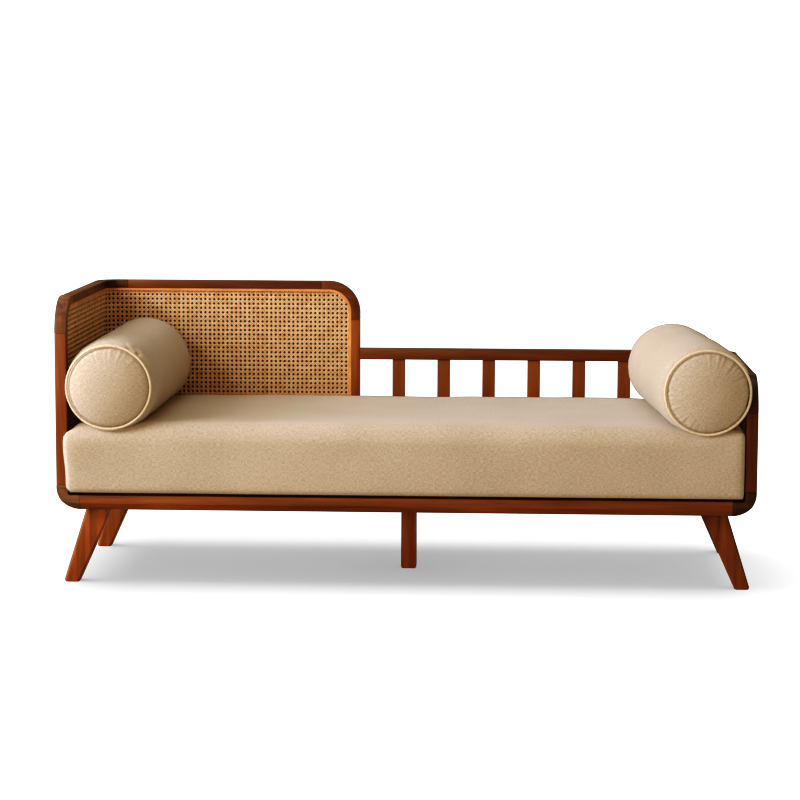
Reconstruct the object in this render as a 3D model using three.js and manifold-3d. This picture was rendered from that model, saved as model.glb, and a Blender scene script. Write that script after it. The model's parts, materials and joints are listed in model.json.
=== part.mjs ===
// Daybed: a solid wood frame with one high caned end and one low slatted end,
// five legs, a plywood deck, a loose mattress and two loose bolsters.
//
// Bench coordinates, in millimetres: X runs from the left outer face to the right,
// Y from the front face of the frame to the back, Z up from the floor.
// The last group moves them so that the origin is on the floor, at the middle of the
// object's footprint.

import * as THREE from 'three';
import { mergeVertices } from 'three/addons/utils/BufferGeometryUtils.js';
import Module from 'manifold-3d';

const wasm = await Module();
wasm.setup();

// ---- Driving dimensions ----

const length = 1830; // across both ends
const depth = 700; // of the wooden frame, front to back
const high_top = 758.5; // top of the high left end
const low_top = 566; // top of the low right end
const rail_bottom = 202.3; // underside of the base, and the length of a leg
const rail_top = 240.2; // top of the front rail
const base_top = 267; // top of the end rails and the back rail
const frame_width = 29; // thickness of posts, arms and back, seen from above
const front_rail_depth = 45;
const plan_radius = 60; // the back corners, seen from above
const base_radius = 60; // the lower outer edge of the base
const arm_radius = 91; // where a front post curves back into its arm
const post_depth = 30;
const high_rail_height = 22;
const low_rail_height = 30.5;
const high_panel_right = 756.5; // right edge of the high back
const stile_width = 24.5;
const end_radius = 90; // top right corner of the high back
const joint_gap = 0.3; // clearance left between two pieces that touch

const high_post_joint = 667; // where the left post meets its curved block
const low_post_joint = 474;
const arm_joint = 115; // from the front face to the end of a curved arm block
const corner_joint = 88; // from the outer face to the end of a back corner block
const end_block_reach = 110; // the rounded block at the high back's top right corner

const bevel_height = 16; // along the lower front edge of the front rail
const bevel_depth = 12;

const board_outer = 8; // the panel board's two faces, from the outer face of the frame
const board_inner = 20;
const cane_thickness = 2;
const bead_width = 7;
const bead_outer = 2;
const bead_inner = 27;

const back_slat_width = 35;
const back_slat_thickness = 18;
const first_back_slat = 869; // centre of the slat nearest the high back
const back_slat_pitch = 129.4;
const back_slat_count = 7;
const arm_slat_count = 5;

const leg_thickness = 40;
const front_leg_face = 50; // front face of the front legs
const back_leg_face = 568; // front face of the back legs
const leg_top_outer = 71;
const leg_top_inner = 138;
const foot_outer = 9.5;
const foot_inner = 46;
const foot_rounding = 6;
const leg_flare = 9; // how far a leg's inner edge spreads where it meets the base
const leg_edge = 4; // width of the chamfer around a leg's front and back
const centre_leg_width = 40;
const centre_leg_face = 292;

const ledger_width = 24;
const deck_thickness = 18;
const deck_top = 247;
const bearer_width = 92;

const mattress_top = 426;
const mattress_rounding = 36;
const bolster_radius = 109;
const bolster_front = -18; // the bolsters stand a little proud of the frame
const bolster_back = 664;
const bolster_height = 527; // of a bolster's axis
const bolster_dome = 10;
const left_bolster_x = [141, 148]; // of the axis at the front and at the back
const right_bolster_x = [1688, 1643];

const arc_steps = 12; // flat steps in each quarter turn
const beyond = 60; // how far a cutting solid reaches past what it cuts

// ---- Materials ----

function paint(color, roughness) {
  return new THREE.MeshStandardMaterial({ color, roughness, metalness: 0 });
}

const wood = () => paint(0x96502a, 0.42);
const dark_wood = () => paint(0x5f3823, 0.45);
const plywood = () => paint(0xb89060, 0.7);
const stained_board = () => paint(0x20140c, 0.8);
const cane = () => paint(0xd9a86c, 0.55);
const linen = () => paint(0xd9c4a2, 0.95);

// ---- Solids ----

function solid_of(geometry) {
  const bare = geometry.clone();
  bare.deleteAttribute('normal');
  bare.deleteAttribute('uv');
  const merged = mergeVertices(bare, 0.001);
  return new wasm.Manifold(new wasm.Mesh({
    numProp: 3,
    vertProperties: new Float32Array(merged.attributes.position.array),
    triVerts: new Uint32Array(merged.index.array),
  }));
}

function geometry_of(solid) {
  const mesh = solid.getMesh();
  const geometry = new THREE.BufferGeometry();
  geometry.setAttribute('position', new THREE.BufferAttribute(mesh.vertProperties, 3));
  geometry.setIndex(new THREE.BufferAttribute(mesh.triVerts, 1));
  geometry.computeVertexNormals();
  return geometry;
}

function box(x, y, z) {
  const geometry = new THREE.BoxGeometry(x[1] - x[0], y[1] - y[0], z[1] - z[0]);
  geometry.translate((x[0] + x[1]) / 2, (y[0] + y[1]) / 2, (z[0] + z[1]) / 2);
  return solid_of(geometry);
}

function extrude(shape, thickness, basis) {
  const geometry = new THREE.ExtrudeGeometry(shape, {
    depth: thickness,
    bevelEnabled: false,
    curveSegments: arc_steps,
  });
  geometry.applyMatrix4(basis);
  return solid_of(geometry);
}

const along_x = new THREE.Vector3(1, 0, 0);
const along_y = new THREE.Vector3(0, 1, 0);
const along_z = new THREE.Vector3(0, 0, 1);

// A shape drawn in (Y, Z), standing between two values of X.
function prism_x(shape, x) {
  const basis = new THREE.Matrix4().makeBasis(along_y, along_z, along_x).setPosition(x[0], 0, 0);
  return extrude(shape, x[1] - x[0], basis);
}

// A shape drawn in (X, Z), standing between two values of Y.
function prism_y(shape, y) {
  const backwards = along_y.clone().negate();
  const basis = new THREE.Matrix4().makeBasis(along_x, along_z, backwards).setPosition(0, y[1], 0);
  return extrude(shape, y[1] - y[0], basis);
}

// A shape drawn in (X, Y), standing between two values of Z.
function prism_z(shape, z) {
  const basis = new THREE.Matrix4().makeTranslation(0, 0, z[0]);
  return extrude(shape, z[1] - z[0], basis);
}

function polygon(points) {
  return new THREE.Shape(points.map(([x, y]) => new THREE.Vector2(x, y)));
}

function mirrored(solid) {
  return solid.mirror([1, 0, 0]).translate([length, 0, 0]);
}

function between(solid, x, y, z) {
  return solid.intersect(box(x, y, z));
}

const everywhere = [-beyond, length + beyond];

// ---- The walls: the arms and the back are one upright band, bent at the back corners ----

// The band's left bend, from above. It runs from the front to the corner, and then along
// the back to reach. The two depths are measured inwards from the outer face.
function band_plan(outer, inner, reach) {
  const centre = [plan_radius, depth - plan_radius];
  const shape = new THREE.Shape();
  shape.moveTo(outer, -beyond);
  shape.lineTo(inner, -beyond);
  shape.lineTo(inner, centre[1]);
  shape.absarc(...centre, plan_radius - inner, Math.PI, Math.PI / 2, true);
  shape.lineTo(reach, depth - inner);
  shape.lineTo(reach, depth - outer);
  shape.lineTo(centre[0], depth - outer);
  shape.absarc(...centre, plan_radius - outer, Math.PI / 2, Math.PI, false);
  shape.lineTo(outer, -beyond);
  return shape;
}

// The side of an arm, in (Y, Z): everything behind front and under top, rounded between them.
function arm_side(front, top, radius) {
  const shape = new THREE.Shape();
  shape.moveTo(front, base_top - beyond);
  shape.lineTo(depth + beyond, base_top - beyond);
  shape.lineTo(depth + beyond, top);
  shape.lineTo(front + radius, top);
  shape.absarc(front + radius, top - radius, radius, Math.PI / 2, Math.PI, false);
  shape.lineTo(front, base_top - beyond);
  return prism_x(shape, everywhere);
}

// The high back from the front, in (X, Z): everything left of right and under top.
function back_face(right, top, radius) {
  const shape = new THREE.Shape();
  shape.moveTo(-beyond, base_top - beyond);
  shape.lineTo(right, base_top - beyond);
  shape.lineTo(right, top - radius);
  shape.absarc(right - radius, top - radius, radius, 0, Math.PI / 2, false);
  shape.lineTo(-beyond, top);
  shape.lineTo(-beyond, base_top - beyond);
  return prism_y(shape, everywhere);
}

// What lies inside the high end's opening, between two depths, kept margin from its edges.
function high_panel(outer, inner, margin) {
  const top = high_top - high_rail_height - margin;
  const right = high_panel_right - stile_width - margin;
  const bottom = base_top + margin;
  return prism_z(band_plan(outer, inner, right + beyond), [bottom, high_top])
    .intersect(arm_side(post_depth + margin, top, arm_radius - post_depth - margin))
    .intersect(back_face(right, top, end_radius - stile_width - margin));
}

function high_frame() {
  return prism_z(band_plan(0, frame_width, high_panel_right), [base_top, high_top])
    .intersect(arm_side(0, high_top, arm_radius))
    .intersect(back_face(high_panel_right, high_top, end_radius))
    .subtract(high_panel(-beyond / 2, frame_width + 1, 0));
}

// The low end is drawn on the left and mirrored, so that one outline serves both ends.
function low_frame() {
  const reach = length - high_panel_right - joint_gap;
  const inside_top = low_top - low_rail_height;
  const opening = prism_z(band_plan(-beyond / 2, frame_width + 1, reach + beyond), [base_top, inside_top])
    .intersect(arm_side(post_depth, inside_top, arm_radius - post_depth));
  return prism_z(band_plan(0, frame_width, reach), [base_top, low_top])
    .intersect(arm_side(0, low_top, arm_radius))
    .subtract(opening);
}

const to_back = [-beyond, depth + beyond];
const from_floor = [0, high_top + beyond];

function post(frame, joint) {
  const z = [base_top + joint_gap, joint];
  return between(frame, everywhere, [-beyond, arm_joint], z);
}

function arm_front_block(frame, joint) {
  return between(frame, everywhere, [-beyond, arm_joint], [joint + joint_gap, high_top + beyond]);
}

function arm_rail(frame) {
  const y = [arm_joint + joint_gap, depth - corner_joint];
  return between(frame, everywhere, y, from_floor);
}

function corner_block(frame) {
  const x = [-beyond, corner_joint];
  return between(frame, x, [depth - corner_joint + joint_gap, depth + beyond], from_floor);
}

// The straight and rounded pieces along the top of the high back.
function high_back_rail(frame) {
  const x = [corner_joint + joint_gap, high_panel_right - end_block_reach];
  return between(frame, x, [depth / 2, depth + beyond], from_floor);
}

function high_back_end_block(frame) {
  const x = [high_panel_right - end_block_reach + joint_gap, length];
  return between(frame, x, to_back, [high_top - end_block_reach, high_top + beyond]);
}

function back_stile(frame) {
  const x = [high_panel_right - end_block_reach, length];
  const z = [base_top + joint_gap, high_top - end_block_reach - joint_gap];
  return between(frame, x, to_back, z);
}

function low_back_rail(frame) {
  const x = [corner_joint + joint_gap, length];
  return between(frame, x, [depth / 2, depth + beyond], from_floor);
}

// ---- The caned panel ----

function side_board(board) {
  const y = [-beyond, depth - plan_radius - joint_gap];
  return between(board, everywhere, y, from_floor);
}

function corner_board(board) {
  return between(board, [-beyond, plan_radius], [depth - plan_radius, depth + beyond], from_floor);
}

function back_board(board) {
  return between(board, [plan_radius + joint_gap, length], to_back, from_floor);
}

function bead(outer, inner) {
  const wider = high_panel(outer - 1, inner + 1, bead_width + joint_gap);
  return high_panel(outer, inner, joint_gap).subtract(wider);
}

// ---- The base ----

// The end rails and the back rail share one section: upright inside, rounded below outside.
// It is drawn with its outer face at 0 and runs inwards to frame_width.
const run_out = Math.acos((base_radius - frame_width) / base_radius);

function base_section() {
  const shape = new THREE.Shape();
  shape.moveTo(0, base_top);
  shape.lineTo(0, rail_bottom + base_radius);
  shape.absarc(base_radius, rail_bottom + base_radius, base_radius, Math.PI, Math.PI + run_out, false);
  shape.lineTo(frame_width, base_top);
  shape.lineTo(0, base_top);
  return shape;
}

function end_rail() {
  const y = [front_rail_depth + joint_gap, depth - corner_joint];
  return prism_y(base_section(), y);
}

// A length of the back rail. Its section faces backwards, so it is drawn facing forwards and flipped.
function back_length(x) {
  return prism_x(base_section(), x).mirror([0, 1, 0]).translate([0, depth, 0]);
}

function back_rail() {
  return back_length([corner_joint + joint_gap, length - corner_joint - joint_gap]);
}

// A carved block that carries the base's section around a back corner. It is a revolved ring,
// of which one quarter is kept, with a straight stub at each end.
function back_base_block() {
  const profile = [new THREE.Vector2(plan_radius, base_top)];
  profile.push(new THREE.Vector2(plan_radius - frame_width, base_top));
  for (let step = 0; step <= arc_steps; step += 1) {
    const angle = run_out * (1 - step / arc_steps);
    const across = base_radius * Math.cos(angle);
    profile.push(new THREE.Vector2(across, rail_bottom + base_radius - base_radius * Math.sin(angle)));
  }
  profile.push(profile[0].clone());
  const ring = new THREE.LatheGeometry(profile, 4 * arc_steps);
  ring.rotateX(Math.PI / 2);
  ring.translate(plan_radius, depth - plan_radius, 0);
  const behind = [depth - plan_radius, depth + beyond];
  const turn = between(solid_of(ring), [-beyond, plan_radius], behind, from_floor);
  const side_stub = prism_y(base_section(), [depth - corner_joint + joint_gap, depth - plan_radius]);
  return turn.add(side_stub).add(back_length([plan_radius, corner_joint]));
}

// A long solid whose upper face is the front rail's bevel, running out to nothing on a corner
// block's curve. It starts a little before the block, so that its slanted end cuts the whole edge.
function bevel_cutter(start, end) {
  const across = new THREE.Vector3(0, bevel_depth, -bevel_height);
  const run = new THREE.Vector3().subVectors(end, start).normalize();
  const out = new THREE.Vector3().crossVectors(across, run).normalize();
  if (out.z < 0) {
    out.negate();
  }
  const size = 4 * (bevel_height + bevel_depth);
  const reach = start.distanceTo(end);
  const geometry = new THREE.BoxGeometry(2 * reach, size, size);
  geometry.translate(reach - bevel_height, 0, -size / 2);
  const sideways = new THREE.Vector3().crossVectors(out, run).normalize();
  const basis = new THREE.Matrix4().makeBasis(run, sideways, out).setPosition(start);
  geometry.applyMatrix4(basis);
  return solid_of(geometry);
}

function front_rail() {
  const section = polygon([
    [0, rail_bottom + bevel_height],
    [bevel_depth, rail_bottom],
    [front_rail_depth, rail_bottom],
    [front_rail_depth, rail_top],
    [0, rail_top],
  ]);
  const end = base_radius + joint_gap;
  return prism_x(section, [end, length - end]);
}

// The rounded block between the front rail and a front post. The bevel fades out on it.
function front_base_block() {
  const inner_radius = 6;
  const shape = new THREE.Shape();
  shape.moveTo(0, base_top);
  shape.lineTo(0, rail_bottom + base_radius);
  shape.absarc(base_radius, rail_bottom + base_radius, base_radius, Math.PI, 1.5 * Math.PI, false);
  shape.lineTo(base_radius, rail_top);
  shape.lineTo(frame_width + inner_radius, rail_top);
  const inner = [frame_width + inner_radius, rail_top + inner_radius];
  shape.absarc(...inner, inner_radius, 1.5 * Math.PI, Math.PI, true);
  shape.lineTo(frame_width, base_top);
  shape.lineTo(0, base_top);
  const block = prism_y(shape, [0, front_rail_depth]);
  const fade = 0.8; // the share of the curve's width over which the bevel fades out
  const fade_x = base_radius * (1 - fade);
  const fade_z = rail_bottom + base_radius * (1 - Math.sqrt(1 - fade * fade));
  const start = new THREE.Vector3(base_radius, 0, rail_bottom + bevel_height);
  const end = new THREE.Vector3(fade_x, 0, fade_z);
  return block.subtract(bevel_cutter(start, end));
}

// ---- Under the mattress ----

function ledger(y) {
  const start = base_radius + joint_gap;
  return box([start, length - start], y, [rail_bottom, deck_top - deck_thickness - joint_gap]);
}

const bearer_start = front_rail_depth + ledger_width + 2 * joint_gap;
const bearer_end = depth - frame_width - ledger_width - 2 * joint_gap;

function bearer(centre) {
  const x = [centre - bearer_width / 2, centre + bearer_width / 2];
  return box(x, [bearer_start, bearer_end], [rail_bottom, deck_top - deck_thickness - joint_gap]);
}

function deck_panel() {
  const x = [frame_width + joint_gap, (length - joint_gap) / 2];
  const y = [front_rail_depth + joint_gap, depth - frame_width - joint_gap];
  const panel = box(x, y, [deck_top - deck_thickness, deck_top]);
  const notch = plan_radius - frame_width;
  const corner = box([0, x[0] + notch], [y[1] - notch, depth], [0, length]);
  return panel.subtract(corner);
}

// ---- Legs ----

// A leg seen from the front: it splays outwards, narrows towards the foot and flares into the base.
function leg_outline() {
  const top = rail_bottom - joint_gap;
  const edge = leg_edge;
  const slope = (leg_top_inner - foot_inner) / top;
  const flare_start = top - 2 * leg_flare;
  const shape = new THREE.Shape();
  shape.moveTo(foot_outer + foot_rounding + edge, 0);
  shape.lineTo(foot_inner - foot_rounding - edge, 0);
  shape.quadraticCurveTo(foot_inner - edge, 0, foot_inner - edge + slope * foot_rounding, foot_rounding);
  shape.lineTo(foot_inner - edge + slope * flare_start, flare_start);
  shape.quadraticCurveTo(leg_top_inner - edge, top, leg_top_inner + leg_flare - edge, top);
  shape.lineTo(leg_top_outer + edge, top);
  shape.lineTo(foot_outer + edge, foot_rounding);
  shape.quadraticCurveTo(foot_outer + edge, 0, foot_outer + foot_rounding + edge, 0);
  return shape;
}

// The chamfer is an extrusion bevel. It widens the outline sideways only, so the sole and
// the top are cut flat again.
function leg(face) {
  const geometry = new THREE.ExtrudeGeometry(leg_outline(), {
    depth: leg_thickness - 2 * leg_edge,
    bevelEnabled: true,
    bevelSize: leg_edge,
    bevelThickness: leg_edge,
    bevelSegments: 1,
    curveSegments: 4,
  });
  const backwards = along_y.clone().negate();
  const basis = new THREE.Matrix4().makeBasis(along_x, along_z, backwards);
  basis.setPosition(0, face + leg_thickness - leg_edge, 0);
  geometry.applyMatrix4(basis);
  return between(solid_of(geometry), everywhere, to_back, [0, rail_bottom - joint_gap]);
}

function centre_leg() {
  const left = (length - centre_leg_width) / 2;
  const right = left + centre_leg_width;
  const top = rail_bottom - joint_gap;
  const shape = new THREE.Shape();
  shape.moveTo(left + foot_rounding, 0);
  shape.lineTo(right - foot_rounding, 0);
  shape.quadraticCurveTo(right, 0, right, foot_rounding);
  shape.lineTo(right, top);
  shape.lineTo(left, top);
  shape.lineTo(left, foot_rounding);
  shape.quadraticCurveTo(left, 0, left + foot_rounding, 0);
  return prism_y(shape, [centre_leg_face, centre_leg_face + leg_thickness]);
}

// ---- Slats ----

function back_slat(centre) {
  const x = [centre - back_slat_width / 2, centre + back_slat_width / 2];
  const middle = depth - frame_width / 2;
  const y = [middle - back_slat_thickness / 2, middle + back_slat_thickness / 2];
  return box(x, y, [base_top + joint_gap, low_top - low_rail_height - joint_gap]);
}

function arm_slat(centre) {
  const middle = length - frame_width / 2;
  const x = [middle - back_slat_thickness / 2, middle + back_slat_thickness / 2];
  const y = [centre - back_slat_width / 2, centre + back_slat_width / 2];
  return box(x, y, [base_top + joint_gap, low_top - low_rail_height - joint_gap]);
}

// ---- Soft goods ----

function mattress() {
  const side_gap = 1.6;
  const left = frame_width + side_gap;
  const right = length - left;
  const back = depth - frame_width - side_gap;
  const back_rounding = plan_radius - frame_width + 2 * side_gap;
  const plan = new THREE.Shape();
  plan.moveTo(left, 0);
  plan.lineTo(right, 0);
  plan.lineTo(right, back - back_rounding);
  plan.absarc(right - back_rounding, back - back_rounding, back_rounding, 0, Math.PI / 2, false);
  plan.lineTo(left + back_rounding, back);
  plan.absarc(left + back_rounding, back - back_rounding, back_rounding, Math.PI / 2, Math.PI, false);
  plan.lineTo(left, 0);
  const bottom = deck_top + joint_gap;
  const section = new THREE.Shape();
  section.moveTo(0, bottom);
  section.lineTo(back, bottom);
  const rounding = mattress_rounding;
  section.lineTo(back, mattress_top - rounding);
  section.absarc(back - rounding, mattress_top - rounding, rounding, 0, Math.PI / 2, false);
  section.lineTo(rounding, mattress_top);
  section.absarc(rounding, mattress_top - rounding, rounding, Math.PI / 2, Math.PI, false);
  section.lineTo(0, bottom);
  return prism_z(plan, [bottom, mattress_top]).intersect(prism_x(section, [0, length]));
}

// A round pillow with slightly domed ends, lying on the mattress with a flat underside.
function bolster(axis_x) {
  const rim = bolster_radius;
  const half = (bolster_back - bolster_front) / 2;
  const profile = [
    new THREE.Vector2(0, -half),
    new THREE.Vector2(rim * 0.6, -half + bolster_dome * 0.3),
    new THREE.Vector2(rim * 0.96, -half + bolster_dome),
    new THREE.Vector2(rim, -half + 2 * bolster_dome),
    new THREE.Vector2(rim, half - 2 * bolster_dome),
    new THREE.Vector2(rim * 0.96, half - bolster_dome),
    new THREE.Vector2(rim * 0.6, half - bolster_dome * 0.3),
    new THREE.Vector2(0, half),
  ];
  const geometry = new THREE.LatheGeometry(profile, 4 * arc_steps);
  geometry.rotateZ(Math.atan2(axis_x[0] - axis_x[1], bolster_back - bolster_front));
  geometry.translate((axis_x[0] + axis_x[1]) / 2, (bolster_front + bolster_back) / 2, bolster_height);
  return between(solid_of(geometry), everywhere, to_back, [mattress_top + joint_gap, high_top]);
}

// ---- Assembly ----

const daybed = new THREE.Group();

function place(name, solid, material) {
  const mesh = new THREE.Mesh(geometry_of(solid), material());
  mesh.name = name;
  daybed.add(mesh);
}

function place_base() {
  place('front_rail', front_rail(), wood);
  place('back_rail', back_rail(), wood);
  place('left_end_rail', end_rail(), wood);
  place('right_end_rail', mirrored(end_rail()), wood);
  place('front_left_base_block', front_base_block(), dark_wood);
  place('front_right_base_block', mirrored(front_base_block()), dark_wood);
  place('back_left_base_block', back_base_block(), dark_wood);
  place('back_right_base_block', mirrored(back_base_block()), dark_wood);
}

function place_high_end() {
  const frame = high_frame();
  place('front_left_post', post(frame, high_post_joint), wood);
  place('left_arm_front_block', arm_front_block(frame, high_post_joint), dark_wood);
  place('left_arm_rail', arm_rail(frame), wood);
  place('high_back_corner_block', corner_block(frame), dark_wood);
  place('high_back_rail', high_back_rail(frame), wood);
  place('high_back_end_block', high_back_end_block(frame), dark_wood);
  place('back_stile', back_stile(frame), wood);
}

function place_low_end() {
  const frame = low_frame();
  place('front_right_post', mirrored(post(frame, low_post_joint)), wood);
  place('right_arm_front_block', mirrored(arm_front_block(frame, low_post_joint)), dark_wood);
  place('right_arm_rail', mirrored(arm_rail(frame)), wood);
  place('low_back_corner_block', mirrored(corner_block(frame)), dark_wood);
  place('low_back_rail', mirrored(low_back_rail(frame)), wood);
}

function place_cane() {
  const board = high_panel(board_outer, board_inner, joint_gap);
  place('side_panel_board', side_board(board), stained_board);
  place('corner_panel_board', corner_board(board), stained_board);
  place('back_panel_board', back_board(board), stained_board);
  const inside = board_inner + joint_gap;
  const outside = board_outer - joint_gap;
  place('inner_cane', high_panel(inside, inside + cane_thickness, joint_gap), cane);
  place('outer_cane', high_panel(outside - cane_thickness, outside, joint_gap), cane);
  place('inner_cane_bead', bead(inside + cane_thickness + joint_gap, bead_inner), cane);
  place('outer_cane_bead', bead(bead_outer, outside - cane_thickness - joint_gap), cane);
}

function place_slats() {
  for (let i = 0; i < back_slat_count; i += 1) {
    place(`back_slat_${i + 1}`, back_slat(first_back_slat + i * back_slat_pitch), wood);
  }
  place(`back_slat_${back_slat_count + 1}`, back_slat(length - corner_joint), wood);
  const last = depth - corner_joint;
  const pitch = (last - post_depth / 2) / arm_slat_count;
  for (let i = 0; i < arm_slat_count; i += 1) {
    place(`arm_slat_${arm_slat_count - i}`, arm_slat(last - i * pitch), wood);
  }
}

function place_deck() {
  const front = front_rail_depth + joint_gap;
  const back = depth - frame_width - joint_gap;
  place('front_ledger', ledger([front, front + ledger_width]), wood);
  place('back_ledger', ledger([back - ledger_width, back]), wood);
  const leg_middle = (leg_top_outer + leg_top_inner) / 2;
  place('left_bearer', bearer(leg_middle), wood);
  place('centre_bearer', bearer(length / 2), wood);
  place('right_bearer', bearer(length - leg_middle), wood);
  place('left_deck_panel', deck_panel(), plywood);
  place('right_deck_panel', mirrored(deck_panel()), plywood);
}

function place_legs() {
  place('front_left_leg', leg(front_leg_face), wood);
  place('front_right_leg', mirrored(leg(front_leg_face)), wood);
  place('back_left_leg', leg(back_leg_face), wood);
  place('back_right_leg', mirrored(leg(back_leg_face)), wood);
  place('centre_leg', centre_leg(), wood);
}

function place_soft_goods() {
  place('mattress', mattress(), linen);
  place('left_bolster', bolster(left_bolster_x), linen);
  place('right_bolster', bolster(right_bolster_x), linen);
}

place_base();
place_high_end();
place_low_end();
place_cane();
place_slats();
place_deck();
place_legs();
place_soft_goods();

const footprint = new THREE.Box3().setFromObject(daybed).getCenter(new THREE.Vector3());
daybed.position.set(-footprint.x, -footprint.y, 0);

export default daybed;
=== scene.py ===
# Daybed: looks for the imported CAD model. Everything is in metres, in the frame of the CAD row:
# +X to the low slatted end, +Y to the back, +Z up, and the floor at Z 0.

import json
import math

import bmesh
import bpy
import numpy as np
from mathutils import Matrix, Vector


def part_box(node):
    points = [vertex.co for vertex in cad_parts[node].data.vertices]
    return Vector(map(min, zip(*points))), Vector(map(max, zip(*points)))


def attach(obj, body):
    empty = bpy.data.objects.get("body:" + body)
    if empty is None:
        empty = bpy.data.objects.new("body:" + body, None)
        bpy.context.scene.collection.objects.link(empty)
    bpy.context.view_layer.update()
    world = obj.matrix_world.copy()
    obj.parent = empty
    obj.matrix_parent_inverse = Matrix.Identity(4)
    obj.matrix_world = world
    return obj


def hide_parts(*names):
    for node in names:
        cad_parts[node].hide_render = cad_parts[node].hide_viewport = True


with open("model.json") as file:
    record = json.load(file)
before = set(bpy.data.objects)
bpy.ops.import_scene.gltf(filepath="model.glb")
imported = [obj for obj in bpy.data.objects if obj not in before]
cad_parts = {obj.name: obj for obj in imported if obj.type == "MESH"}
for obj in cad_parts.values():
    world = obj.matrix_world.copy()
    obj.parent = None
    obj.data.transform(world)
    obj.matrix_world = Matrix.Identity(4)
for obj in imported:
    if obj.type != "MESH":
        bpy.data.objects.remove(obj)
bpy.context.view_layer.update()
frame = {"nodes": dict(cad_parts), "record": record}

MM = 0.001
TURN = 2 * math.pi


# ---- Camera: a long lens at eye height, a little right of the middle, looking slightly down ----

CAMERA_PLACE = Vector((0.2586, -6.5283, 1.2614))
CAMERA_YAW = -0.04378  # radians, negative looks left
CAMERA_PITCH = 0.12224  # radians downwards
CAMERA_ROLL = 0.0036
CAMERA_LENS = 108.0  # both of these are in millimetres
CAMERA_SENSOR = 36.0
CAMERA_REACH = 200.0


def add_object(name, data):
    made = bpy.data.objects.new(name, data)
    bpy.context.scene.collection.objects.link(made)
    return made


def make_camera():
    cos_yaw, sin_yaw = math.cos(CAMERA_YAW), math.sin(CAMERA_YAW)
    cos_pitch = math.cos(CAMERA_PITCH)
    forward = Vector((sin_yaw * cos_pitch, cos_yaw * cos_pitch, -math.sin(CAMERA_PITCH)))
    level = Vector((cos_yaw, -sin_yaw, 0.0))
    rise = level.cross(forward)
    right = level * math.cos(CAMERA_ROLL) + rise * math.sin(CAMERA_ROLL)
    up = rise * math.cos(CAMERA_ROLL) - level * math.sin(CAMERA_ROLL)
    turn = Matrix((right, up, -forward)).transposed().to_4x4()
    data = bpy.data.cameras.new("camera")
    data.lens = CAMERA_LENS
    data.sensor_width = CAMERA_SENSOR
    data.clip_end = CAMERA_REACH
    camera = add_object("camera", data)
    camera.matrix_world = Matrix.Translation(CAMERA_PLACE) @ turn
    bpy.context.scene.camera = camera


make_camera()


# ---- Node helpers ----


def srgb(red, green, blue):
    """A linear colour from 0 to 255 screen values."""

    def linear(value):
        value /= 255.0
        return value / 12.92 if value <= 0.04045 else ((value + 0.055) / 1.055) ** 2.4

    return (linear(red), linear(green), linear(blue), 1.0)


class Graph:
    """A material being wired: a few short names for the nodes that this script uses."""

    def __init__(self, name):
        self.material = bpy.data.materials.new(name)
        self.material.use_nodes = True
        self.tree = self.material.node_tree
        self.shader = self.tree.nodes["Principled BSDF"]

    def put(self, socket, value):
        if isinstance(value, bpy.types.NodeSocket):
            self.tree.links.new(value, socket)
        else:
            socket.default_value = value

    def wire(self, kind, inputs, output=0, **settings):
        """Adds a node, links or sets its inputs, and returns one of its outputs."""
        made = self.tree.nodes.new(kind)
        for key, value in settings.items():
            setattr(made, key, value)
        for key, value in inputs.items():
            self.put(made.inputs[key], value)
        return made.outputs[output]

    def place(self, stretch=(1.0, 1.0, 1.0), per_piece=0.0):
        """Object coordinates, scaled along each axis. per_piece shifts each piece by its own amount."""
        coords = self.wire("ShaderNodeTexCoord", {}, "Object")
        scaled = self.vector("MULTIPLY", coords, stretch)
        if not per_piece:
            return scaled
        chance = self.wire("ShaderNodeObjectInfo", {}, "Random")
        return self.vector("ADD", scaled, self.math("MULTIPLY", chance, per_piece))

    def noise(self, where, scale, detail=3.0, roughness=0.55, distortion=0.0):
        inputs = {"Vector": where, "Scale": scale, "Detail": detail}
        inputs.update({"Roughness": roughness, "Distortion": distortion})
        return self.wire("ShaderNodeTexNoise", inputs, "Fac")

    def ramp(self, fac, *stops):
        """A colour ramp through (position, colour) stops."""
        made = self.tree.nodes.new("ShaderNodeValToRGB")
        self.put(made.inputs["Fac"], fac)
        elements = made.color_ramp.elements
        while len(elements) < len(stops):
            elements.new(0.5)
        for element, (position, colour) in zip(elements, stops):
            element.position = position
            element.color = colour
        return made.outputs["Color"]

    def levels(self, fac, low, high, start=0.0, end=1.0):
        """fac from low to high, turned into start to end."""
        inputs = {"Value": fac, "From Min": low, "From Max": high, "To Min": start, "To Max": end}
        return self.wire("ShaderNodeMapRange", inputs, "Result")

    def math(self, operation, first, second):
        return self.wire("ShaderNodeMath", {0: first, 1: second}, operation=operation)

    def vector(self, operation, first, second):
        return self.wire("ShaderNodeVectorMath", {0: first, 1: second}, operation=operation)

    def mix(self, fac, first, second, blend="MIX"):
        inputs = {0: fac, 6: first, 7: second}
        return self.wire("ShaderNodeMix", inputs, 2, data_type="RGBA", blend_type=blend)

    def bump(self, height, strength, distance):
        inputs = {"Height": height, "Strength": strength, "Distance": distance}
        self.put(self.shader.inputs["Normal"], self.wire("ShaderNodeBump", inputs, "Normal"))

    def surface(self, colour, roughness, specular=0.5):
        self.put(self.shader.inputs["Base Color"], colour)
        self.put(self.shader.inputs["Roughness"], roughness)
        self.shader.inputs["Specular IOR Level"].default_value = specular

    def attribute(self, name, output="Vector"):
        return self.wire("ShaderNodeAttribute", {}, output, attribute_name=name)


# ---- Materials ----

AXES = "XYZ"


def shaded(colour, tone):
    return tuple(tone * channel for channel in colour[:3]) + (1.0,)


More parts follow.
